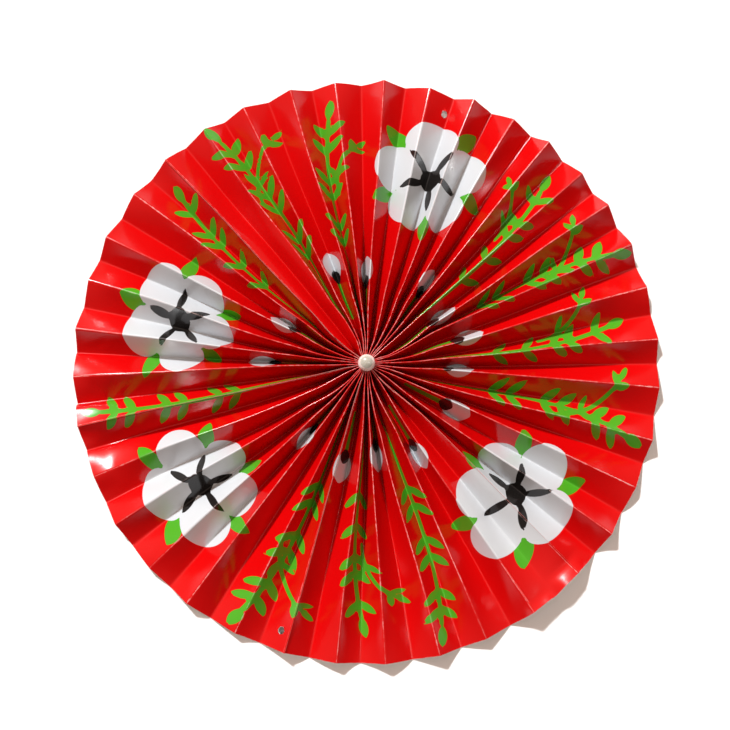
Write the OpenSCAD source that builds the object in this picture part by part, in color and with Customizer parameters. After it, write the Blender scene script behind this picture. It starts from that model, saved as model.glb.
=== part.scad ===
// Pleated paper fan, opened into a full round and lying face up on its valley folds.
// Four printed sheets are folded into narrow panels and glued end to end. Their inner
// edges are gathered round a plug of hot-melt glue that also carries a pearl bead.
// Millimetres, +Z up, floor at z = 0, the gathered centre on the Z axis.

/* [Paper] */

// Overall diameter of the open fan
fan_d = 300; // [270:1:310]
// Width of one panel between two folds
panel_w = 15; // [14.5:0.1:18]
// Paper thickness
paper_t = 0.2; // [0.12:0.01:0.22]
// Radius of the hole that the gathered inner edges leave
gather_r = 3.2; // [3.2:0.1:4.2]
// Radius out to which the even folds of the gather drift to their rim places
even_r = 40; // [30:1:70]
// How far single folds stray from even spacing at the rim, in degrees
stray = 0.3; // [0:0.05:0.4]
// How loosely the folds stray in the inner third
loose = 1; // [0:0.05:1]

/* [Opening of the fan] */

// Angle of the seam where the long sheet starts, from the +X axis
seam_long = -44.7; // [-48:0.1:-42]
// Angle of the long sheet's thirteenth fold
long_fold_13 = 20.4; // [18:0.1:22]
// Angle of the long sheet's twenty-fifth fold
long_fold_25 = 72.3; // [70:0.1:75]
// Angle of the seam where the first short sheet starts
seam_1 = 134.2; // [131:0.1:138]
// Angle of the seam where the second short sheet starts
seam_2 = 192; // [190:0.1:195]
// Angle of the seam where the third short sheet starts
seam_3 = 254; // [252:0.1:256]
// Extra angle by which the last two panels before the long sheet are pulled open
pulled = 1.4; // [0:0.1:2]
// Height at the rim of the valley between those two panels
pulled_rise = 5; // [0:0.5:6]

/* [Seams] */

// Share of a panel that is tucked under the sheet before it
flap_share = 0.75; // [0.6:0.05:0.85]
// Radius inside which the tucked flap is trimmed off
flap_r = 20; // [18:1:25]
// How far the upper sheet's edge stands past the crest
lip = 0.8; // [0:0.1:1.2]
// Glue line between two glued panels
glue_gap = 0.1; // [0.08:0.01:0.12]

/* [Holes and centre] */

// Diameter of the punched string holes
hole_d = 4; // [3:0.1:4.5]
// Distance from the rim to the middle of a hole
hole_in = 10; // [7:0.5:20]
// Place of the upper hole across its panel, from the valley fold
upper_hole_share = 0.19; // [0.18:0.01:0.8]
// Place of the lower hole across its panel, from the valley fold
lower_hole_share = 0.67; // [0.4:0.01:0.75]
// Diameter of the pearl bead
bead_d = 8.6; // [8.6:0.1:12]
// Height of the underside of the glue plug above the floor
plug_z = 3; // [2:0.5:8]

/* [Hidden] */

$fn = 96;
rim_r = fan_d / 2;
folds = 74;
rim_shares = [0.2, 0.3, 0.41, 0.52, 0.63, 0.73, 0.81, 0.885, 1];
radii = [gather_r, 5, 8, 13, flap_r, each rim_shares * rim_r];
rows = len(radii);
flap_row = 4;

// Fold numbers with the angles to which they are opened. Even folds are mountains.
opening = [
    [0, seam_long],
    [13, long_fold_13],
    [25, long_fold_25],
    [38, seam_1],
    [50, seam_2],
    [62, seam_3],
    [72, seam_long + 360 - 2 * (seam_long + 360 - seam_3) / 12 - pulled],
    [74, seam_long + 360]
];

// Degrees by which the mountain folds stray in the inner third, from the long sheet's first seam on
waist = [
    1, -1.5, 0.5, -1.5, 0, -1, -2, 0.5, -2, 0, -1, -1.5, -2, -1, 1, -0.5, -2.5, -1, -3,
    1.5, 2, 1.5, 2.5, 0.5, -0.5, 0.5, 2.5, 2.5, 1.5, 0.5, 1, -0.5, 1.5, -0.5, -2, 0, -1
];

function wrap(i) = ((i % folds) + folds) % folds;
function turns(i) = floor(i / folds);
function is_mountain(i) = wrap(i) % 2 == 0;
function is_seam(i) = wrap(i) == 0 || wrap(i) == 38 || wrap(i) == 50 || wrap(i) == 62;
function ease(x, a, b) = let (u = min(max((x - a) / (b - a), 0), 1)) u * u * (3 - 2 * u);

// Angle of a fold at the rim, in the gather, and in between
function strayed(i) = is_seam(i) ? 0 : stray * sin(97 * wrap(i));
function rim_angle(i) = lookup(wrap(i), opening) + 360 * turns(i) + strayed(i);
function waisted(i) = (waist[wrap(floor(i / 2) * 2) / 2] + waist[wrap(ceil(i / 2) * 2) / 2]) / 2;
function waist_share(r) = 1.75 * ease(r, gather_r, 28) * (1 - ease(r, 10, 120));
function gather_angle(i) = seam_long - 2.5 + i * 360 / folds;
function fold_angle(i, r) =
    let (k = ease(r, gather_r, even_r))
    gather_angle(i) * (1 - k) + rim_angle(i) * k + loose * waisted(i) * waist_share(r);

// Panel i spans fold i and fold i + 1
function span(i, r) = r * (fold_angle(i + 1, r) - fold_angle(i, r)) * PI / 180;
function tilt(a) = acos(min(max(a / panel_w, 0), 0.98));
function crest_half(i, r) =
    let (a = span(i, r), c = paper_t * tan(tilt(a) / 2)) paper_t * tan(tilt(a - c) / 2);
function rise(i, r) =
    let (a = span(i, r) - crest_half(i, r)) sqrt(max(panel_w * panel_w - a * a, 2));

// Heights of the valley and mountain folds
function valley_z(i, r) = wrap(i) == 73 ? pulled_rise * ease(r, 60, rim_r) : 0;
function crest_z(i, r) =
    paper_t + (valley_z(i - 1, r) + rise(i - 1, r) + valley_z(i + 1, r) + rise(i, r)) / 2;

// A point at radius r on a fold's ray, moved x along the rim direction
function at(i, r, x, z) =
    let (a = fold_angle(i, r)) [r * cos(a) - x * sin(a), r * sin(a) + x * cos(a), z];

// Run of the panel that leaves mountain i towards the lower angle, crest to valley
function down_run(i, r) =
    at(i - 1, r, 0, valley_z(i - 1, r) + paper_t) - at(i, r, -crest_half(i - 1, r), crest_z(i, r));
function steepness(i, r) = let (v = down_run(i, r)) atan2(-v.z, norm([v.x, v.y]));

// Shift of a sheet's first crest along the rim and in height, so that its flap lies under
// the sheet before it
function tuck(i, r) =
    let (k = ease(r, 8, flap_r), a = steepness(i, r), d = paper_t + glue_gap)
    [glue_gap / 2 * (1 - k) + d * sin(a) * k, -d * cos(a) * k];

// Three corners of the paper at a fold: two on the outer side of the crease, one on the inner
function plain_fold(i, r, shift = [0, 0]) =
    is_mountain(i)
    ? let (z = crest_z(i, r) + shift[1]) [
        at(i, r, shift[0] - crest_half(i - 1, r), z),
        at(i, r, shift[0] + crest_half(i, r), z),
        at(i, r, shift[0], z - paper_t)
      ]
    : let (z = valley_z(i, r)) [
        at(i, r, -crest_half(i - 1, r), z),
        at(i, r, crest_half(i, r), z),
        at(i, r, 0, z + paper_t)
      ];
function fold_points(i, r, first, last) =
    plain_fold(i, r, first ? tuck(i, r) : last ? [-glue_gap / 2 * (1 - ease(r, 8, flap_r)), 0] : [0, 0]);

// Upper and lower corners of the lip past the last crest
function lip_points(i, r) =
    let (
        v = down_run(i, r),
        over = -v / norm(v) * lip * (0.2 + 0.8 * ease(r, flap_r, 0.3 * rim_r)),
        p = plain_fold(i, r)
    )
    [p[0] + over, p[2] + over];

// Upper and lower corners of the flap's far edge, on a row and on the crossline to the next row
function flap_points(i, r) =
    let (p = plain_fold(i, r, tuck(i, r)), v = down_run(i, r) * flap_share) [p[0] + v, p[2] + v];
function flap_cross(i, r, r_next) =
    let (
        p = plain_fold(i, r, tuck(i, r)),
        q = plain_fold(i, r_next, tuck(i, r_next)),
        v = down_run(i, r)
    )
    [for (k = [0, 2]) q[k] + (p[k] + v - q[k]) * flap_share];

function quad(a, b, c, d) = [[a, b, c], [a, c, d]];

// One pleated sheet from seam fold i0 to seam fold i1, with its tucked flap before i0
module pleated_sheet(i0, i1) {
    n = i1 - i0;
    end = rows - 1;
    points = [
        for (j = [0:end]) for (f = [0:n])
            each fold_points(i0 + f, radii[j], f == 0, f == n),
        for (j = [flap_row:end]) each concat(
            lip_points(i1, radii[j]),
            flap_points(i0, radii[j]),
            flap_cross(i0, radii[j], radii[min(j + 1, end)])
        )
    ];
    function at_fold(j, f, k) = (j * (n + 1) + f) * 3 + k;
    function up_right(j, f) = at_fold(j, f, f % 2 == 0 ? 1 : 2);
    function up_left(j, f) = at_fold(j, f, f % 2 == 0 ? 0 : 2);
    function low_right(j, f) = at_fold(j, f, f % 2 == 0 ? 2 : 1);
    function low_left(j, f) = at_fold(j, f, f % 2 == 0 ? 2 : 0);
    function extra(j, k) = rows * (n + 1) * 3 + (j - flap_row) * 6 + k;
    function lip_up(j) = extra(j, 0);
    function lip_low(j) = extra(j, 1);
    function flap_up(j) = extra(j, 2);
    function flap_low(j) = extra(j, 3);
    function cross_up(j) = extra(j, 4);
    function cross_low(j) = extra(j, 5);
    faces = [
        // printed side and back of every panel
        for (j = [0:end - 1]) for (f = [0:n - 1]) each concat(
            quad(up_right(j, f), up_left(j, f + 1), up_left(j + 1, f + 1), up_right(j + 1, f)),
            quad(low_right(j, f), low_right(j + 1, f), low_left(j + 1, f + 1), low_left(j, f + 1))
        ),
        // outer side of every crease
        for (j = [0:end - 1]) for (f = [0:n - 1]) each f % 2 == 0
            ? quad(at_fold(j, f, 0), at_fold(j, f, 1), at_fold(j + 1, f, 1), at_fold(j + 1, f, 0))
            : quad(at_fold(j, f, 0), at_fold(j + 1, f, 0), at_fold(j + 1, f, 1), at_fold(j, f, 1)),
        // inner edge and rim edge
        for (f = [0:n - 1]) each concat(
            quad(up_right(0, f), low_right(0, f), low_left(0, f + 1), up_left(0, f + 1)),
            quad(up_right(end, f), up_left(end, f + 1), low_left(end, f + 1), low_right(end, f))
        ),
        for (f = [0:n - 1]) each f % 2 == 0
            ? [[at_fold(0, f, 0), at_fold(0, f, 2), at_fold(0, f, 1)],
               [at_fold(end, f, 0), at_fold(end, f, 1), at_fold(end, f, 2)]]
            : [[at_fold(0, f, 0), at_fold(0, f, 1), at_fold(0, f, 2)],
               [at_fold(end, f, 0), at_fold(end, f, 2), at_fold(end, f, 1)]],
        // edges at the last and first crest, in the gather
        for (j = [0:flap_row - 1]) each concat(
            quad(at_fold(j, n, 0), at_fold(j, n, 2), at_fold(j + 1, n, 2), at_fold(j + 1, n, 0)),
            quad(at_fold(j, 0, 0), at_fold(j + 1, 0, 0), at_fold(j + 1, 0, 2), at_fold(j, 0, 2))
        ),
        // lip past the last crest
        for (j = [flap_row:end - 1]) each concat(
            quad(at_fold(j, n, 0), lip_up(j), lip_up(j + 1), at_fold(j + 1, n, 0)),
            quad(at_fold(j, n, 2), at_fold(j + 1, n, 2), lip_low(j + 1), lip_low(j)),
            quad(lip_up(j), lip_low(j), lip_low(j + 1), lip_up(j + 1))
        ),
        each quad(at_fold(flap_row, n, 0), at_fold(flap_row, n, 2), lip_low(flap_row), lip_up(flap_row)),
        each quad(at_fold(end, n, 0), lip_up(end), lip_low(end), at_fold(end, n, 2)),
        // tucked flap
        for (j = [flap_row:end - 1]) each concat(
            quad(flap_up(j), at_fold(j, 0, 0), at_fold(j + 1, 0, 0), cross_up(j)),
            [[cross_up(j), at_fold(j + 1, 0, 0), flap_up(j + 1)]],
            quad(flap_low(j), cross_low(j), at_fold(j + 1, 0, 2), at_fold(j, 0, 2)),
            [[cross_low(j), flap_low(j + 1), at_fold(j + 1, 0, 2)]],
            quad(flap_up(j), cross_up(j), cross_low(j), flap_low(j)),
            quad(cross_up(j), flap_up(j + 1), flap_low(j + 1), cross_low(j))
        ),
        each quad(flap_up(flap_row), flap_low(flap_row), at_fold(flap_row, 0, 2), at_fold(flap_row, 0, 0)),
        each quad(flap_up(end), at_fold(end, 0, 0), at_fold(end, 0, 2), flap_low(end))
    ];
    polyhedron(points, faces);
}

// Corner of the printed side of a panel that rises from valley i, at its valley or its crest
function panel_corner(i, r, top) = top ? plain_fold(i + 1, r)[0] : plain_fold(i, r)[2];

// Round punch, square to the panel that rises from valley i, a share s of the way up it
module punch(i, s) {
    r = rim_r - hole_in;
    j = max([for (k = [0:rows - 2]) if (radii[k] <= r) k]);
    t = (r - radii[j]) / (radii[j + 1] - radii[j]);
    low = panel_corner(i, radii[j], false);
    high = panel_corner(i, radii[j + 1], true);
    side = s > t ? panel_corner(i, radii[j], true) : panel_corner(i, radii[j + 1], false);
    p = s > t ? low + (side - low) * s + (high - side) * t : low + (side - low) * t + (high - side) * s;
    v = cross(side - low, high - low);
    n = v / norm(v) * (v.z < 0 ? -1 : 1);
    translate(p - n * paper_t / 2)
        rotate([0, acos(n.z), atan2(n.y, n.x)])
            cylinder(d = hole_d, h = 2.4, center = true);
}
module upper_punch() {
    punch(25, upper_hole_share);
}
module lower_punch() {
    punch(61, lower_hole_share);
}

// Long sheet over the upper right half of the fan, with the upper string hole
module long_sheet() {
    color("#e00505")
        difference() {
            pleated_sheet(0, 38);
            upper_punch();
        }
}

// Short sheet over the left side
module short_sheet_1() {
    color("#e00505")
        pleated_sheet(38, 50);
}

// Short sheet at the lower left, with the lower string hole beside its last edge
module short_sheet_2() {
    color("#e00505")
        difference() {
            pleated_sheet(50, 62);
            lower_punch();
        }
}

// Short sheet at the lower right, whose flap is punched with the sheet over it
module short_sheet_3() {
    color("#e00505")
        difference() {
            pleated_sheet(62, 74);
            lower_punch();
        }
}

bead_r = bead_d / 2;
crest_top = paper_t + panel_w;
bead_z = crest_top + sqrt(pow(bead_r + 0.05, 2) - gather_r * gather_r);

// Hot-melt glue in the gathered middle, cupped under the bead
module glue_plug() {
    color("#d9cfb0")
        difference() {
            translate([0, 0, plug_z])
                cylinder(r = gather_r - 0.03, h = crest_top - plug_z);
            translate([0, 0, bead_z])
                sphere(r = bead_r + 0.01);
        }
}

// Round pearl bead, set into the glue on the ring of crests
module pearl_bead() {
    color("#e6e0d2")
        translate([0, 0, bead_z])
            sphere(r = bead_r);
}

long_sheet();
short_sheet_1();
short_sheet_2();
short_sheet_3();
glue_plug();
pearl_bead();
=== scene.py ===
import math

import bmesh
import bpy
import numpy as np
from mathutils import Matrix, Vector


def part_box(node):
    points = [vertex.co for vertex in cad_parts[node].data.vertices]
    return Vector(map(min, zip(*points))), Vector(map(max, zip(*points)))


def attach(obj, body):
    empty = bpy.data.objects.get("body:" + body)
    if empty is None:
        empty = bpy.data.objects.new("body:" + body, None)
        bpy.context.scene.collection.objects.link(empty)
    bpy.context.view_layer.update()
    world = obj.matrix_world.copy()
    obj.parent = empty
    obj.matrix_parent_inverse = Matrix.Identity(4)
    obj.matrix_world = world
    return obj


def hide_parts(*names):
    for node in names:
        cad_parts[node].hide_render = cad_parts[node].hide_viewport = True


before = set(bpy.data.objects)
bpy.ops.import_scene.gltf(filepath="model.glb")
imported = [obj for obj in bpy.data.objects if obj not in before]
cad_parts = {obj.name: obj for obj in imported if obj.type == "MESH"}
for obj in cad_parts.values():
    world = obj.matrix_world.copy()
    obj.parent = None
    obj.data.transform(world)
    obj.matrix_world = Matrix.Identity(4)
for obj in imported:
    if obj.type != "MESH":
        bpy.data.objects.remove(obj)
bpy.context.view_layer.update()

MM = 0.001

# Sizes of the folded fan, in millimetres and degrees
RIM_R = 150.0
PANEL_W = 15.0
PAPER_T = 0.2
GATHER_R = 3.2
EVEN_R = 40.0
STRAY = 0.3
FOLDS = 74
SEAMS = (0, 38, 50, 62)
SEAM_LONG = -44.7
SEAM_3 = 254.0
# The last valley before the long sheet is pulled open and up
LAST_VALLEY = 73
PULLED = 1.4
PULLED_RISE = 5.0
FLAP_SHARE = 0.75
FLAP_R = 20.0
LIP = 0.8
GLUE_GAP = 0.1
HOLE_R = 2.0
HOLE_AT = RIM_R - 10.0

# Fold numbers with the angles to which they are opened; even folds are mountains
OPENING = (
    (0, SEAM_LONG),
    (13, 20.4),
    (25, 72.3),
    (38, 134.2),
    (50, 192.0),
    (62, SEAM_3),
    (72, SEAM_LONG + 360 - 2 * (SEAM_LONG + 360 - SEAM_3) / 12 - PULLED),
    (74, SEAM_LONG + 360),
)

# Degrees by which the mountain folds stray in the inner third, from the long sheet's first seam on
WAIST = (
    *(1, -1.5, 0.5, -1.5, 0, -1, -2, 0.5, -2, 0, -1, -1.5, -2, -1, 1, -0.5, -2.5, -1, -3),
    *(1.5, 2, 1.5, 2.5, 0.5, -0.5, 0.5, 2.5, 2.5, 1.5, 0.5, 1, -0.5, 1.5, -0.5, -2, 0, -1),
)

# Degrees by which they stray close to the bead, where the pleats are bunched by hand
BUNCHED = (
    *(-2, 3, 3.5, 4, 0, 0.3, -4, -4.2, -9.5, 0.5, -1.5, -7, -7.5, -6, -1.7, -5.5, -8.5, -9, -13),
    *(4.7, 3, 4.8, 1.5, -1.5, -2.5, -3.5, -1.5, 8, 2, -1.5, 0.5, -2, 0, -0.5, -4.5, -6.5, 2.5),
)

# How far the waist strays, and the radii where the bunching is full and where it ends
WAIST_GAIN = 1.75
BUNCH_FULL_R = 12
BUNCH_END_R = 38
# Degrees by which the gathered folds are turned against the rim
GATHER_TURN = 2.5

# Sheet name, its first and last seam fold, and the punched holes as (place in folds, radius)
SHEETS = (
    ("long_sheet", 0, 38, ((25.19, HOLE_AT),)),
    ("short_sheet_1", 38, 50, ()),
    ("short_sheet_2", 50, 62, ((61.67, HOLE_AT),)),
    ("short_sheet_3", 62, 74, ((61.67, HOLE_AT),)),
)

# Grid of one sheet: columns across a panel, rows from the gather to the rim, and how strongly
# the columns crowd towards the folds
COLUMNS = 11
ROWS = 92
CROWD = 0.5
# Half width of a rounded crease, as a share of a panel
CREASE = 0.028
# Half width of the ridge along a mountain fold, and where its shoulder lies as a share of a panel
RIDGE = 0.22
SHOULDER = 0.02


def linear(hex_colour):
    """sRGB hex to the linear colour that the shader takes."""
    parts = [int(hex_colour[i : i + 2], 16) / 255 for i in (1, 3, 5)]
    return tuple(c / 12.92 if c <= 0.04045 else ((c + 0.055) / 1.055) ** 2.4 for c in parts) + (1.0,)


# Shape of the folded paper


def ease(x, a, b):
    """Smooth step from 0 at a to 1 at b."""
    u = np.clip((x - a) / (b - a), 0, 1)
    return u * u * (3 - 2 * u)


def rim_angle(i):
    """Angle of fold i at the rim."""
    k = np.mod(i, FOLDS)
    angle = np.interp(k, [f for f, _ in OPENING], [a for _, a in OPENING])
    strayed = np.where(np.isin(k, SEAMS), 0.0, STRAY * np.sin(np.radians(97 * k)))
    return angle + strayed + 360 * np.floor(i / FOLDS)


def fold_angle(i, r):
    """Angle of fold i at radius r: evenly spaced at the gather and as opened by hand further out."""
    k = ease(r, GATHER_R, EVEN_R)
    even = SEAM_LONG - GATHER_TURN + i * 360 / FOLDS
    mountains = range(0, FOLDS + 2, 2)
    astray = np.interp(np.mod(i, FOLDS), mountains, WAIST + WAIST[:1])
    astray = astray * WAIST_GAIN * ease(r, GATHER_R, 28) * (1 - ease(r, 10, 120))
    bunched = np.interp(np.mod(i, FOLDS), mountains, BUNCHED + BUNCHED[:1])
    held = 0.45 + 0.55 * ease(r, GATHER_R, BUNCH_FULL_R)
    let_go = np.clip((BUNCH_END_R - r) / (BUNCH_END_R - BUNCH_FULL_R), 0, 1) ** 1.5
    return even * (1 - k) + rim_angle(i) * k + astray + bunched * held * let_go


def span(i, r):
    return r * np.radians(fold_angle(i + 1, r) - fold_angle(i, r))


def rise(i, r):
    """Height from valley to crest of panel i, whose width stays the same."""
    a = span(i, r)
    for _ in range(2):
        tilt = np.arccos(np.clip(a / PANEL_W, 0, 0.98))
        a = span(i, r) - PAPER_T * np.tan(tilt / 2)
    return np.sqrt(np.maximum(PANEL_W**2 - a**2, 2))


def valley_z(i, r):
    return np.where(np.mod(i, FOLDS) == LAST_VALLEY, PULLED_RISE * ease(r, 60, RIM_R), 0.0)


def crest_z(i, r):
    return PAPER_T + (valley_z(i - 1, r) + rise(i - 1, r) + valley_z(i + 1, r) + rise(i, r)) / 2


def fold_point(i, r, along=0.0, lift=0.0):
    """Point on the printed side of fold i at radius r, moved along the rim and lifted."""
    a = np.radians(fold_angle(i, r))
    z = np.where(np.mod(i, 2) == 0, crest_z(i, r), valley_z(i, r) + PAPER_T) + lift
    return np.stack([r * np.cos(a) - along * np.sin(a), r * np.sin(a) + along * np.cos(a), z], -1)


def down_run(i, r):
    return fold_point(i - 1, r) - fold_point(i, r)


def sheet_fold(i, r, first, last):
    """Fold of one sheet: its first crest is tucked under the sheet before, its lip runs straight on."""
    start, end = np.full_like(i, first), np.full_like(i, last)
    run = down_run(start, r)
    steep = np.arctan2(-run[:, 2], np.hypot(run[:, 0], run[:, 1]))
    k = ease(r, 8, FLAP_R)
    d = (PAPER_T + GLUE_GAP) * k
    along = d * np.sin(steep) + GLUE_GAP / 2 * (1 - k)
    crest = fold_point(start, r, along, -d * np.cos(steep))
    lip = fold_point(end, r) - down_run(end, r)
    p = fold_point(i, r)
    p = np.where((i == first)[:, None], crest, p)
    p = np.where((i == first - 1)[:, None], crest + run, p)
    return np.where((i == last + 1)[:, None], lip, p)


def folded(q, r, first, last):
    """Places in millimetres of the flat points at fold number q and radius r, with rounded creases."""
    k = np.clip(np.rint(q), first, last).astype(int)
    d = q - k
    f = sheet_fold(k, r, first, last)
    left = sheet_fold(k - 1, r, first, last) - f
    right = sheet_fold(k + 1, r, first, last) - f
    flat_left = np.maximum(-d, 0)
    flat_right = np.maximum(d, 0)
    round_left = (CREASE - d) ** 2 / (4 * CREASE)
    round_right = (CREASE + d) ** 2 / (4 * CREASE)
    near = np.abs(d) < CREASE
    place = f + left * np.where(near, round_left, flat_left)[:, None]
    place += right * np.where(near, round_right, flat_right)[:, None]
    # the panels stand off the round top of their mountain fold; the lip of a sheet runs straight on
    e = q - 2 * np.rint(q / 2)
    shoulder = np.sign(e) * np.minimum(np.abs(e) / SHOULDER, 1)
    aside = RIDGE * np.where(q > last - 1, -1, shoulder) * (1 - np.abs(e))
    a = np.arctan2(place[:, 1], place[:, 0])
    place[:, 0] -= aside * np.sin(a)
    place[:, 1] += aside * np.cos(a)
    return place


# Panels that bulge towards the rim: number, height of the bulge, radii where it starts and is full
BULGES = (
    *((47, 1.2, 116, 146), (49, 3.8, 100, 146), (51, 0.9, 105, 136), (53, 0.7, 115, 146)),
    *((23, 0.9, 120, 142), (14, 0.6, 110, 142), (36, -0.8, 105, 142)),
)
# Places where the rim curls up: fold number, panels to each side that curl in full and that fade,
# slope, radius where it starts
CURLS = ((51.5, 0.5, 0.7, 0.16, 136), (72.4, 0.25, 0.5, 0.38, 143), (73.75, 0.3, 0.6, 0.38, 140))
# Millimetres over which a curled rim bends before it runs straight, and the share it is drawn in
CURL_BEND = 4.0
CURL_DRAW = 0.35
# Pleats that gape in the inner half: valley, its lift, radii where the lift starts and is full
GAPING = ((37, 5.0, 3, 14), (LAST_VALLEY, 4.0, 10, 35))
# Small dents: fold place, radius, heading across the panel, length, depth; all have one width
DENT_W = 1.7
DENTS = (
    (48.4, 139, 0.6, 7, 0.45),
    (48.6, 131, -0.5, 6, 0.35),
    (47.4, 142, 0.9, 6, 0.4),
    (46.5, 137, -0.7, 5, 0.3),
    (49.5, 118, 0.4, 7, 0.3),
    (30.5, 136, 0.6, 6, 0.25),
    (8.4, 128, -0.6, 6, 0.25),
    (58.6, 124, 0.5, 7, 0.3),
)


def apart(q, place):
    """Distance in folds round the fan."""
    return np.abs(np.mod(q - place + FOLDS / 2, FOLDS) - FOLDS / 2)


def curl(q, r):
    """Height in millimetres by which the rim curls up, first bent and then straight."""
    height = np.zeros(q.shape)
    for place, full, fade, slope, start in CURLS:
        out = np.maximum(r - start, 0)
        bent = np.where(out < CURL_BEND, out**2 / (2 * CURL_BEND), out - CURL_BEND / 2)
        height += slope * (1 - ease(apart(q, place), full, full + fade)) * bent
    return height


def warp(q, r):
    """Height in millimetres by which the paper bows, curls and dents away from flat panels."""
    i = np.floor(q)
    s = q - i
    k = np.mod(i, FOLDS)
    arch = np.sin(np.pi * s)
    crest = np.abs(np.mod(q, 2) - 1)
    # each panel bows its own way, more so at the rim, and the crests run in slow waves
    height = (0.3 * np.sin(2.4 * k + 0.7) + 0.2 * np.sin(5.1 * k)) * arch * ease(r, 40, RIM_R)
    height += 0.5 * np.sin(1.7 * k + 2.1) * arch * ease(r, 118, RIM_R) ** 2
    height += 0.3 * crest * np.sin(0.09 * r + 1.9 * np.rint(q / 2)) * ease(r, 30, 110)
    for panel, bulge, start, full in BULGES:
        height += np.where(k == panel, bulge, 0.0) * np.sin(np.pi * s**0.45) * ease(r, start, full)
    for valley, lift, start, full in GAPING:
        near = np.maximum(1 - apart(q, valley), 0)
        share = ease(r, start, full) * (1 - ease(r, 75, 118))
        height += (lift * near + np.where(near > 0, 1.2, 0.0) * arch) * share
    # the last valley is almost flat at the rim
    height += 3.0 * np.maximum(1 - apart(q, LAST_VALLEY), 0) * np.maximum((r - 90) / (RIM_R - 90), 0) ** 2
    height += curl(q, r)
    for place, radius, heading, length, depth in DENTS:
        x, y = local(q, r, place, radius, heading)
        height -= depth * np.exp(-((x / length) ** 2) - (y / DENT_W) ** 2) * arch
    return height


# Printed design, as signed distances in millimetres that are above zero inside a shape


def disc(x, y, cx, cy, radius):
    return radius - np.hypot(x - cx, y - cy)


def leaf(x, y, bx, by, heading, length, width):
    c, s = math.cos(heading), math.sin(heading)
    t = (x - bx) * c + (y - by) * s
    n = -(x - bx) * s + (y - by) * c
    arc = (length**2 / 4 + width**2 / 4) / width
    return arc - np.hypot(t - length / 2, np.abs(n) + arc - width / 2)


def stem(x, y, ax, ay, bx, by, thick):
    ux, uy = bx - ax, by - ay
    t = np.clip(((x - ax) * ux + (y - ay) * uy) / (ux * ux + uy * uy), 0, 1)
    return thick / 2 - np.hypot(x - ax - t * ux, y - ay - t * uy)


def local(q, r, centre_q, centre_r, turn=0.0):
    """Millimetres about a motif's centre, along the rim and outwards, as seen on the open fan."""
    dq = np.mod(q - centre_q + FOLDS / 2, FOLDS) - FOLDS / 2
    x = -dq * 2 * math.pi / FOLDS * centre_r
    y = r - centre_r
    c, s = math.cos(turn), math.sin(turn)
    return x * c + y * s, -x * s + y * c


def sprig(x, y, foot, tip, bend, pairs, length):
    """A bent stem from foot to tip with narrow pointed leaves in pairs along it and one at its tip."""
    run = np.subtract(tip, foot)
    side = np.array([-run[1], run[0]]) / np.hypot(*run)
    line = [np.add(foot, run * t) + side * bend * 4 * t * (1 - t) for t in np.linspace(0, 1, 13)]
    field = np.full(x.shape, -50.0)
    for a, b in zip(line, line[1:]):
        field = np.maximum(field, stem(x, y, *a, *b, 1.8))
    for k in np.linspace(4, 11, pairs).round().astype(int):
        step = line[k + 1] - line[k]
        heading = math.atan2(step[1], step[0])
        size = length * (1.15 - 0.03 * k)
        for turn in (-0.7, 0.7):
            field = np.maximum(field, leaf(x, y, *line[k], heading + turn, size, length * 0.3))
    return np.maximum(field, leaf(x, y, *line[-1], heading, length * 0.9, length * 0.3))


def blossom(x, y, radius):
    """Green, white and black fields of a five-petalled blossom: sepals, petals, eye with petal lines."""
    white = radius * (0.6 + 0.4 * np.sqrt(np.abs(np.cos(2.5 * np.arctan2(x, y))))) - np.hypot(x, y)
    black = disc(x, y, 0, 0, radius * 0.19)
    green = black - radius
    for k in range(5):
        gap = math.pi * 0.7 + k * math.tau / 5
        c, s = math.cos(gap) * radius, math.sin(gap) * radius
        black = np.maximum(black, leaf(x, y, 0.1 * c, 0.1 * s, gap, radius * 0.5, radius * 0.13))
        green = np.maximum(green, leaf(x, y, 0.58 * c, 0.58 * s, gap, radius * 0.58, radius * 0.26))
    return green, white, black


# Blossoms: fold number and radius of the middle, size, turn
BLOSSOMS = ((24.8, 103, 30, 0.2), (44.6, 99, 29, 0.5), (54.6, 104, 29, -0.3), (74.7, 100, 30, 0.1))
# Buds: fold number and radius
BUDS = (
    *((3.6, 50), (8.4, 46), (12.3, 53), (16.3, 45), (21.3, 52), (28.6, 48), (33.1, 54)),
    *((41.6, 46), (47.2, 52), (57.2, 47), (62.5, 53), (66.7, 46), (71.4, 52)),
)
# Sprigs: fold number, foot and tip in millimetres along the rim and outwards, bend, pairs of leaves,
# length of a leaf
SPRIGS = (
    *((6.4, (0, -68), (4, 40), 5, 6, 13), (6.4, (3, 4), (-14, 34), -3, 2, 9)),
    *((10.4, (0, -62), (-3, 30), -4, 5, 12), (10.4, (-2, -6), (-15, 20), -3, 2, 9)),
    *((14.3, (0, -68), (3, 43), 5, 6, 13), (14.3, (3, 2), (-14, 33), -3, 2, 9)),
    *((18.2, (0, -64), (-4, 34), -4, 5, 12), (18.2, (-3, -2), (-15, 24), -3, 2, 8)),
    *((31.0, (0, -66), (4, 36), 4, 6, 12), (31.0, (3, -4), (13, 20), 3, 2, 8)),
    *((35.2, (0, -70), (-4, 44), -5, 6, 13), (35.2, (-4, 4), (13, 33), 3, 2, 9)),
    *((39.0, (0, -62), (2, 33), 4, 5, 12), (49.6, (0, -66), (0, 42), 3, 6, 12)),
    *((60.4, (0, -68), (4, 42), 5, 6, 13), (60.4, (3, 2), (-14, 32), -3, 2, 9)),
    *((64.6, (0, -62), (-3, 32), -4, 5, 12), (64.6, (-2, -4), (-16, 22), -3, 2, 9)),
    (68.8, (0, -66), (3, 41), 4, 6, 12),
)


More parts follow.
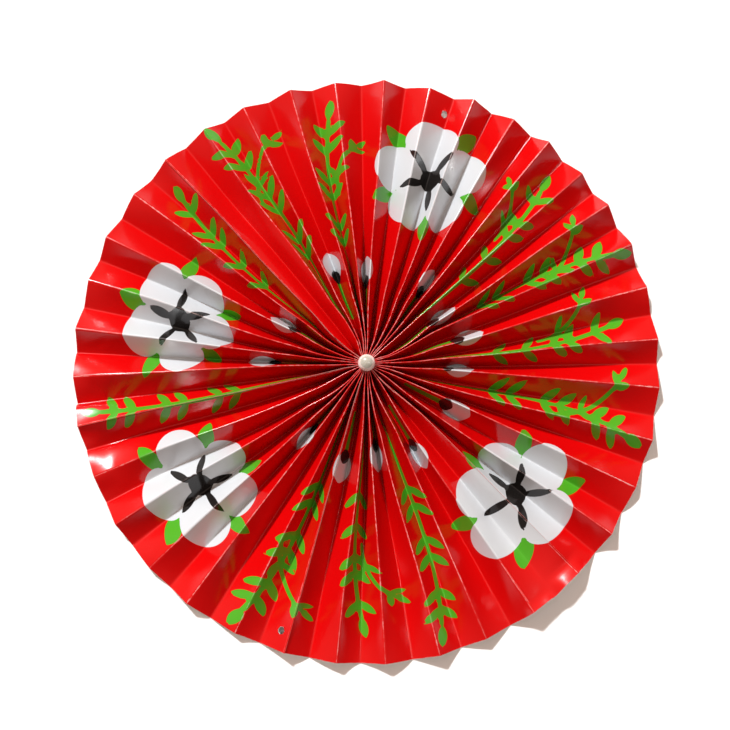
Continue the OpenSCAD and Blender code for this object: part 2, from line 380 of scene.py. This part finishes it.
def printed(q, r):
    """The green, white and black fields of the print."""
    green = np.full(q.shape, -50.0)
    white = np.full(q.shape, -50.0)
    black = np.full(q.shape, -50.0)
    for place, *drawn in SPRIGS:
        green = np.maximum(green, sprig(*local(q, r, place, 95), *drawn))
    for place, radius, size, turn in BLOSSOMS:
        sepals, petals, dark = blossom(*local(q, r, place, radius, turn), size)
        green = np.maximum(green, sepals)
        white = np.maximum(white, petals)
        black = np.maximum(black, dark)
    for place, radius in BUDS:
        x, y = local(q, r, place, radius)
        green = np.maximum(green, stem(x, y, 0, -28, 0, -8, 1.6))
        white = np.maximum(white, leaf(x, y, 0, -8, math.pi / 2, 17, 7))
        black = np.maximum(black, leaf(x, y, 0, -9, math.pi / 2, 8, 4))
    return green, white, black


# Nodes and materials


def add(tree, kind, inputs=(), **settings):
    """One node with its settings; an input is a value or another node's output socket."""
    node = tree.nodes.new(kind)
    for name, value in settings.items():
        setattr(node, name, value)
    for name, value in dict(inputs).items():
        if isinstance(value, bpy.types.NodeSocket):
            tree.links.new(value, node.inputs[name])
        else:
            node.inputs[name].default_value = value
    return node


def new_material(name):
    material = bpy.data.materials.new(name)
    material.use_nodes = True
    material.node_tree.nodes.clear()
    return material, material.node_tree


def coated_print():
    """Gloss coated art paper, printed and varnished: flat ink colours under a clear glossy skin,
    with the ink cracked to white paper along the mountain folds."""
    material, tree = new_material("coated_art_paper_print")
    uv = add(tree, "ShaderNodeUVMap", uv_map="flat")
    place = add(tree, "ShaderNodeSeparateXYZ", {0: uv.outputs["UV"]})
    colour = linear("#ce0406")
    for name, ink in (("green", "#4ba322"), ("white", "#ced2d6"), ("black", "#1e1b1a")):
        field = add(tree, "ShaderNodeAttribute", attribute_name=name)
        # an ink ends within a sixth of a millimetre
        edge = add(
            tree,
            "ShaderNodeMapRange",
            {"Value": field.outputs["Fac"], "From Min": -0.08, "From Max": 0.08},
        )
        mix = add(
            tree,
            "ShaderNodeMix",
            {"Factor": edge.outputs["Result"], 6: colour, 7: linear(ink)},
            data_type="RGBA",
        )
        colour = mix.outputs[2]
    # distance to the nearest mountain fold or to the rim, in millimetres
    pair = add(tree, "ShaderNodeMath", {0: place.outputs["X"], 1: FOLDS / 2}, operation="MULTIPLY")
    near = add(tree, "ShaderNodeMath", {0: pair.outputs[0], 1: 0.5}, operation="PINGPONG")
    fold = add(tree, "ShaderNodeMath", {0: near.outputs[0], 1: 2 * PANEL_W}, operation="MULTIPLY")
    rim = add(
        tree,
        "ShaderNodeMath",
        {0: place.outputs["Y"], 1: -RIM_R, 2: RIM_R},
        operation="MULTIPLY_ADD",
    )
    away = add(tree, "ShaderNodeMath", {0: fold.outputs[0], 1: rim.outputs[0]}, operation="MINIMUM")
    where = add(tree, "ShaderNodeTexCoord").outputs["Object"]
    # ink breaks along a crease in specks a millimetre or two long
    specks = add(tree, "ShaderNodeTexNoise", {"Vector": where, "Scale": 420.0, "Detail": 3.0})
    reach = add(
        tree,
        "ShaderNodeMapRange",
        {
            "Value": specks.outputs["Fac"],
            "From Min": 0.38,
            "From Max": 0.68,
            "To Min": 0.02,
            "To Max": 0.26,
        },
    )
    worn = add(
        tree,
        "ShaderNodeMath",
        {0: away.outputs[0], 1: reach.outputs["Result"]},
        operation="LESS_THAN",
    )
    # some stretches of a fold are rubbed more than others, over one or two centimetres
    rubbed = add(tree, "ShaderNodeTexNoise", {"Vector": where, "Scale": 60.0, "Detail": 1.0})
    share = add(
        tree,
        "ShaderNodeMapRange",
        {
            "Value": rubbed.outputs["Fac"],
            "From Min": 0.35,
            "From Max": 0.65,
            "To Min": 0.06,
            "To Max": 0.4,
        },
    )
    worn_share = add(
        tree,
        "ShaderNodeMath",
        {0: worn.outputs[0], 1: share.outputs["Result"]},
        operation="MULTIPLY",
    )
    cracked = add(
        tree,
        "ShaderNodeMix",
        {"Factor": worn_share.outputs[0], 6: colour, 7: linear("#f6d8d4")},
        data_type="RGBA",
    )
    # the calendered skin is faintly uneven, a few millimetres from hump to hump
    skin = add(tree, "ShaderNodeTexNoise", {"Vector": where, "Scale": 170.0, "Detail": 2.0})
    bump = add(tree, "ShaderNodeBump", {"Height": skin.outputs["Fac"], "Strength": 0.04, "Distance": 0.001})
    rough = add(tree, "ShaderNodeMapRange", {"Value": skin.outputs["Fac"], "To Min": 0.16, "To Max": 0.23})
    shader = add(
        tree,
        "ShaderNodeBsdfPrincipled",
        {
            "Base Color": cracked.outputs[2],
            "Roughness": rough.outputs["Result"],
            "Normal": bump.outputs["Normal"],
            "IOR": 1.47,
        },
    )
    add(tree, "ShaderNodeOutputMaterial", {"Surface": shader.outputs["BSDF"]})
    return material


def bare_paper(name, colour, fibre):
    """Uncoated side or cut edge of the sheet: matt white wood pulp with a fine cloudy fibre pattern."""
    material, tree = new_material(name)
    where = add(tree, "ShaderNodeTexCoord").outputs["Object"]
    # clumps of fibre three or four millimetres across, with finer ones inside
    cloud = add(tree, "ShaderNodeTexNoise", {"Vector": where, "Scale": 300.0, "Detail": 5.0}).outputs["Fac"]
    mix = add(
        tree,
        "ShaderNodeMix",
        {"Factor": cloud, 6: linear(colour), 7: linear(fibre)},
        data_type="RGBA",
    )
    bump = add(tree, "ShaderNodeBump", {"Height": cloud, "Strength": 0.08, "Distance": 0.0005})
    shader = add(
        tree,
        "ShaderNodeBsdfPrincipled",
        {"Base Color": mix.outputs[2], "Normal": bump.outputs["Normal"], "Roughness": 0.8, "IOR": 1.45},
    )
    add(tree, "ShaderNodeOutputMaterial", {"Surface": shader.outputs["BSDF"]})
    return material


def pearl_lacquer():
    """Pearl-lacquered plastic bead: cream with a soft silvery sheen under a clear coat, and a painted pale
    pink reflection round its sides.
    """
    material, tree = new_material("pearl_plastic_with_painted_rim_reflection")
    where = add(tree, "ShaderNodeTexCoord").outputs["Object"]
    cloud = add(tree, "ShaderNodeTexNoise", {"Vector": where, "Scale": 260.0, "Detail": 3.0}).outputs["Fac"]
    mix = add(
        tree,
        "ShaderNodeMix",
        {"Factor": cloud, 6: linear("#c3c1b4"), 7: linear("#b4b1a4")},
        data_type="RGBA",
    )
    # painted reflection: from about 3 mm off the axis the bead is painted paler and pinker than its greyer
    # middle, for the bright room and the red paper that its sides mirror at a glancing angle
    flat = add(tree, "ShaderNodeVectorMath", {0: where, 1: (1, 1, 0)}, operation="MULTIPLY")
    out = add(tree, "ShaderNodeVectorMath", {0: flat.outputs[0]}, operation="LENGTH")
    side = add(
        tree,
        "ShaderNodeMapRange",
        {"Value": out.outputs["Value"], "From Min": 0.0029, "From Max": 0.0034},
    )
    # the painted reflection is mixed over the bead's own colour here
    body = add(
        tree,
        "ShaderNodeMix",
        {"Factor": side.outputs["Result"], 6: mix.outputs[2], 7: linear("#fde9e2")},
        data_type="RGBA",
    )
    bump = add(tree, "ShaderNodeBump", {"Height": cloud, "Strength": 0.06, "Distance": 0.0005})
    shader = add(
        tree,
        "ShaderNodeBsdfPrincipled",
        {
            "Base Color": body.outputs[2],
            "Normal": bump.outputs["Normal"],
            "Roughness": 0.28,
            "IOR": 1.55,
            "Subsurface Weight": 0.5,
            "Subsurface Radius": (1.0, 0.9, 0.8),
            "Subsurface Scale": 0.0008,
            "Sheen Weight": 0.8,
            "Sheen Tint": linear("#ffe4de"),
            "Coat Weight": 0.8,
            "Coat Roughness": 0.14,
        },
    )
    add(tree, "ShaderNodeOutputMaterial", {"Surface": shader.outputs["BSDF"]})
    return material


def hot_melt():
    """Set hot-melt glue: cloudy cream, waxy and a little glossy."""
    material, tree = new_material("hot_melt_glue")
    where = add(tree, "ShaderNodeTexCoord").outputs["Object"]
    # clouds about 2 mm across
    cloud = add(tree, "ShaderNodeTexNoise", {"Vector": where, "Scale": 500.0, "Detail": 2.0}).outputs["Fac"]
    mix = add(
        tree,
        "ShaderNodeMix",
        {"Factor": cloud, 6: linear("#d6cba9"), 7: linear("#e6ddc4")},
        data_type="RGBA",
    )
    shader = add(
        tree,
        "ShaderNodeBsdfPrincipled",
        {"Base Color": mix.outputs[2], "Roughness": 0.4, "IOR": 1.48},
    )
    add(tree, "ShaderNodeOutputMaterial", {"Surface": shader.outputs["BSDF"]})
    return material


def floor_paper():
    """White painted studio floor: matt, and it keeps the fan's shadow."""
    material, tree = new_material("white_studio_floor")
    shader = add(
        tree,
        "ShaderNodeBsdfPrincipled",
        {"Base Color": linear("#fcfcfc"), "Roughness": 0.9, "Specular IOR Level": 0.1},
    )
    add(tree, "ShaderNodeOutputMaterial", {"Surface": shader.outputs["BSDF"]})
    return material


def finished(bm, name, *materials):
    """Makes the bmesh an object at the origin with its materials."""
    mesh = bpy.data.meshes.new(name)
    bm.to_mesh(mesh)
    bm.free()
    for material in materials:
        mesh.materials.append(material)
    piece = bpy.data.objects.new(name, mesh)
    bpy.context.collection.objects.link(piece)
    return piece


# The pleated sheets


def sheet_columns(first, last):
    """Places of the grid's columns in fold numbers: flap, panels and lip."""
    panel = np.linspace(0, 1, COLUMNS + 1)
    panel = panel - CROWD / (2 * math.pi) * np.sin(2 * math.pi * panel)
    places = [first - 1 + p for p in panel if p >= 1 - FLAP_SHARE - 1e-6]
    places[0] = first - FLAP_SHARE
    for i in range(first, last):
        shoulder = SHOULDER if i % 2 == 0 else 1 - SHOULDER
        places += [i + p for p in sorted([*panel[1:], shoulder])]
    return np.array(places + [last + LIP / PANEL_W])


def punch_hole(bm, q, r):
    """Takes the faces round a hole out of the flat sheet and bridges the gap to a circle."""
    x, y = q * PANEL_W, r

    def off(place):
        return max(abs(place.x - x), abs(place.y - y))

    gone = [f for f in bm.faces if off(f.calc_center_median()) < HOLE_R + 0.45]
    bmesh.ops.delete(bm, geom=gone, context="FACES")
    rim = [e for e in bm.edges if e.is_boundary and all(off(v.co) < HOLE_R + 3 for v in e.verts)]
    ring = bmesh.ops.create_circle(bm, segments=len(rim), radius=HOLE_R)["verts"]
    bmesh.ops.translate(bm, verts=ring, vec=(x, y, 0))
    ring_edges = list({e for v in ring for e in v.link_edges})
    bmesh.ops.bridge_loops(bm, edges=rim + ring_edges)


def pleated_sheet(name, first, last, holes, materials):
    """One sheet, laid out flat as a grid, trimmed, punched, printed and then folded."""
    columns = sheet_columns(first, last)
    rows = GATHER_R + (RIM_R - GATHER_R) * np.linspace(0, 1, ROWS + 1) ** 1.05
    bm = bmesh.new()
    bmesh.ops.create_grid(bm, x_segments=len(columns) - 1, y_segments=ROWS, size=0.5)
    for v in bm.verts:
        v.co.x = columns[round((v.co.x + 0.5) * (len(columns) - 1))] * PANEL_W
        v.co.y = rows[round((v.co.y + 0.5) * ROWS)]
    trimmed = [
        f
        for f in bm.faces
        if f.calc_center_median().y < FLAP_R and not first < f.calc_center_median().x / PANEL_W < last
    ]
    bmesh.ops.delete(bm, geom=trimmed, context="FACES")
    for q, r in holes:
        punch_hole(bm, q, r)
    bm.verts.ensure_lookup_table()
    q = np.array([v.co.x for v in bm.verts]) / PANEL_W
    r = np.array([v.co.y for v in bm.verts])
    flat = bm.loops.layers.uv.new("flat")
    for f in bm.faces:
        f.smooth = True
        for loop in f.loops:
            loop[flat].uv = (loop.vert.co.x / PANEL_W / FOLDS, loop.vert.co.y / RIM_R)
    for e in bm.edges:
        e.smooth = not e.is_boundary
    # a curled rim is drawn in a little
    place = folded(q, r - CURL_DRAW * curl(q, r), first, last)
    place[:, 2] += warp(q, r)
    place[:, 2] = np.maximum(place[:, 2], PAPER_T)
    for v, p in zip(bm.verts, place):
        v.co = p * MM
    bmesh.ops.recalc_face_normals(bm, faces=bm.faces)
    if sum(f.normal.z for f in bm.faces) < 0:
        bmesh.ops.reverse_faces(bm, faces=bm.faces)
    piece = finished(bm, name + "_paper", *materials)
    for field, values in zip(("green", "white", "black"), printed(q, r)):
        inked = piece.data.attributes.new(field, "FLOAT", "POINT")
        inked.data.foreach_set("value", values.astype(np.float32))
    solid = piece.modifiers.new("paper_thickness", "SOLIDIFY")
    solid.thickness = PAPER_T * MM
    solid.offset = -1
    solid.material_offset = 1
    solid.material_offset_rim = 2
    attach(piece, "root")
    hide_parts(name)


paper_materials = (
    coated_print(),
    bare_paper("uncoated_paper_back", "#efede8", "#e4e1da"),
    bare_paper("cut_paper_edge", "#d98f88", "#c9746c"),
)
for sheet in SHEETS:
    pleated_sheet(*sheet, paper_materials)


# Bead and glue


def pearl_bead():
    """A round bead of the CAD bead's size and place."""
    low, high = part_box("pearl_bead")
    middle = (Vector(low) + Vector(high)) / 2
    bm = bmesh.new()
    bmesh.ops.create_uvsphere(bm, u_segments=64, v_segments=40, radius=(high[0] - low[0]) / 2)
    bmesh.ops.translate(bm, verts=bm.verts, vec=middle)
    for f in bm.faces:
        f.smooth = True
    piece = finished(bm, "pearl", pearl_lacquer())
    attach(piece, "root")
    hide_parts("pearl_bead")


pearl_bead()
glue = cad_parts["glue_plug"]
glue.data.materials.clear()
glue.data.materials.append(hot_melt())


# Floor, light and camera


def floor():
    """A plain floor, six metres wide, a tenth of a millimetre under the fan."""
    bm = bmesh.new()
    bmesh.ops.create_grid(bm, x_segments=1, y_segments=1, size=3)
    bmesh.ops.translate(bm, verts=bm.verts, vec=(0, 0, -0.0001))
    finished(bm, "studio_floor", floor_paper())


floor()

world = bpy.data.worlds.new("studio")
world.use_nodes = True
# a bright ceiling over darker walls, a little warm, brighter towards the key lamp
sky = world.node_tree
sky.nodes.clear()
way = add(sky, "ShaderNodeTexCoord")
height = add(
    sky,
    "ShaderNodeVectorMath",
    {0: way.outputs["Generated"], 1: (-0.24, 0.44, 0.87)},
    operation="DOT_PRODUCT",
)
level = add(
    sky,
    "ShaderNodeMapRange",
    {"Value": height.outputs["Value"], "From Min": 0.1, "To Min": 0.09, "To Max": 0.7},
)
glow = add(sky, "ShaderNodeBackground", {"Color": linear("#ffdecb"), "Strength": level.outputs["Result"]})
# a plain white backdrop stands all round, up to a few degrees above the floor
backdrop = add(sky, "ShaderNodeBackground", {"Color": (1, 1, 1, 1), "Strength": 1.0})
up = add(sky, "ShaderNodeSeparateXYZ", {0: way.outputs["Generated"]})
wall = add(
    sky,
    "ShaderNodeMapRange",
    {"Value": up.outputs["Z"], "From Min": 0.07, "From Max": 0.15, "To Min": 1.0, "To Max": 0.0},
)
both = add(
    sky,
    "ShaderNodeMixShader",
    {0: wall.outputs["Result"], 1: glow.outputs["Background"], 2: backdrop.outputs["Background"]},
)
add(sky, "ShaderNodeOutputWorld", {"Surface": both.outputs[0]})
bpy.context.scene.world = world


def lamp(name, azimuth, elevation, energy, width, colour):
    """A far lamp that shines on the fan from that azimuth and elevation; its width is in degrees too."""
    data = bpy.data.lights.new(name, "SUN")
    data.energy = energy
    data.angle = math.radians(width)
    data.color = colour
    piece = bpy.data.objects.new(name, data)
    a, e = math.radians(azimuth), math.radians(elevation)
    away = Vector((math.cos(a) * math.cos(e), math.sin(a) * math.cos(e), math.sin(e)))
    piece.location = away * 2
    piece.rotation_euler = away.to_track_quat("Z", "Y").to_euler()
    bpy.context.collection.objects.link(piece)


lamp("key_lamp", 119, 43, energy=3.75, width=4, colour=(0.97, 0.99, 1.0))
lamp("side_lamp", -2, 60, energy=0.35, width=9, colour=(1.0, 0.96, 0.92))

# The camera looks almost straight down: where it aims, how far it is and its elevation
CAMERA_AIM = Vector((-0.0008, 0.0003, 0.005))
CAMERA_AWAY = 0.625
CAMERA_ELEVATION = math.radians(83.5)
camera_data = bpy.data.cameras.new("camera")
camera_data.sensor_width = 36
camera_data.lens = 60.1
camera = bpy.data.objects.new("camera", camera_data)
view_from = Vector((0, -math.cos(CAMERA_ELEVATION), math.sin(CAMERA_ELEVATION)))
camera.location = CAMERA_AIM + view_from * CAMERA_AWAY
camera.rotation_euler = (math.radians(90) - CAMERA_ELEVATION, 0, 0)
bpy.context.collection.objects.link(camera)
bpy.context.scene.camera = camera
bpy.context.scene.view_settings.view_transform = "Standard"
